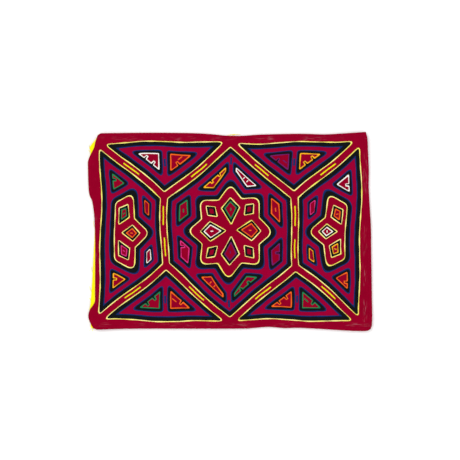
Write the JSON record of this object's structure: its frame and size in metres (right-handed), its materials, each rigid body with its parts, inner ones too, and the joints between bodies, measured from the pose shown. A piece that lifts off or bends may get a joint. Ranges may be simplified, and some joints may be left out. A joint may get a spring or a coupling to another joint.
{
  "type": "mola panel",
  "caption": "Flat rectangular cotton panel of layered reverse applique, with windows cut through a crimson top cloth and flower motifs sewn in them.",
  "frame": {"origin": "middle of the panel's outline, on its underside", "axes": "+X along the panel's long side to the right, +Y towards its top edge, +Z out of its stitched face"},
  "size_m": [0.4098, 0.2868, 0.0036],
  "materials": {
    "crimson_cotton": "matt plain-weave cotton",
    "magenta_cotton": "matt plain-weave cotton",
    "black_cotton": "matt plain-weave cotton",
    "yellow_cotton": "matt plain-weave cotton",
    "blue_cotton": "matt plain-weave cotton",
    "accent_cotton": "matt plain-weave cotton in several colours",
    "sewing_thread": "fine twisted cotton thread"
  },
  "bodies": {
    "root": {"base_cloth": "magenta_cotton", "yellow_cloth": "yellow_cotton", "top_cloth": "crimson_cotton", "middle_window_black_band": "black_cotton", "left_window_black_band": "black_cotton", "right_window_black_band": "black_cotton", "top_left_window_black_band": "black_cotton", "top_right_window_black_band": "black_cotton", "bottom_left_window_black_band": "black_cotton", "bottom_right_window_black_band": "black_cotton", "top_left_filler_1": "black_cotton", "top_left_filler_2": "black_cotton", "top_right_filler_1": "black_cotton", "top_right_filler_2": "black_cotton", "bottom_left_filler_1": "black_cotton", "bottom_left_filler_2": "black_cotton", "bottom_right_filler_1": "black_cotton", "bottom_right_filler_2": "black_cotton", "middle_flower_black_band": "black_cotton", "middle_flower_yellow": "yellow_cotton", "middle_flower_crimson": "crimson_cotton", "middle_flower_cell_1": "black_cotton", "middle_flower_cell_2": "black_cotton", "middle_flower_cell_3": "black_cotton", "middle_flower_cell_4": "black_cotton", "middle_flower_cell_5": "black_cotton", "middle_flower_cell_6": "black_cotton", "middle_flower_cell_7": "black_cotton", "middle_flower_cell_8": "black_cotton", "middle_filler_1": "black_cotton", "middle_filler_2": "black_cotton", "middle_filler_3": "black_cotton", "middle_filler_4": "black_cotton", "middle_filler_5": "black_cotton", "middle_filler_6": "black_cotton", "middle_filler_7": "black_cotton", "middle_filler_8": "black_cotton", "left_flower_black_band": "black_cotton", "left_flower_yellow": "yellow_cotton", "left_flower_crimson": "crimson_cotton", "left_flower_cell_1": "black_cotton", "left_flower_cell_2": "black_cotton", "left_flower_cell_3": "black_cotton", "left_filler_1": "black_cotton", "left_filler_2": "black_cotton", "left_filler_3": "black_cotton", "left_filler_4": "black_cotton", "right_flower_black_band": "black_cotton", "right_flower_yellow": "yellow_cotton", "right_flower_crimson": "crimson_cotton", "right_flower_cell_1": "black_cotton", "right_flower_cell_2": "black_cotton", "right_flower_cell_3": "black_cotton", "right_filler_1": "black_cotton", "right_filler_2": "black_cotton", "right_filler_3": "black_cotton", "right_filler_4": "black_cotton"}
  },
  "joints": []
}
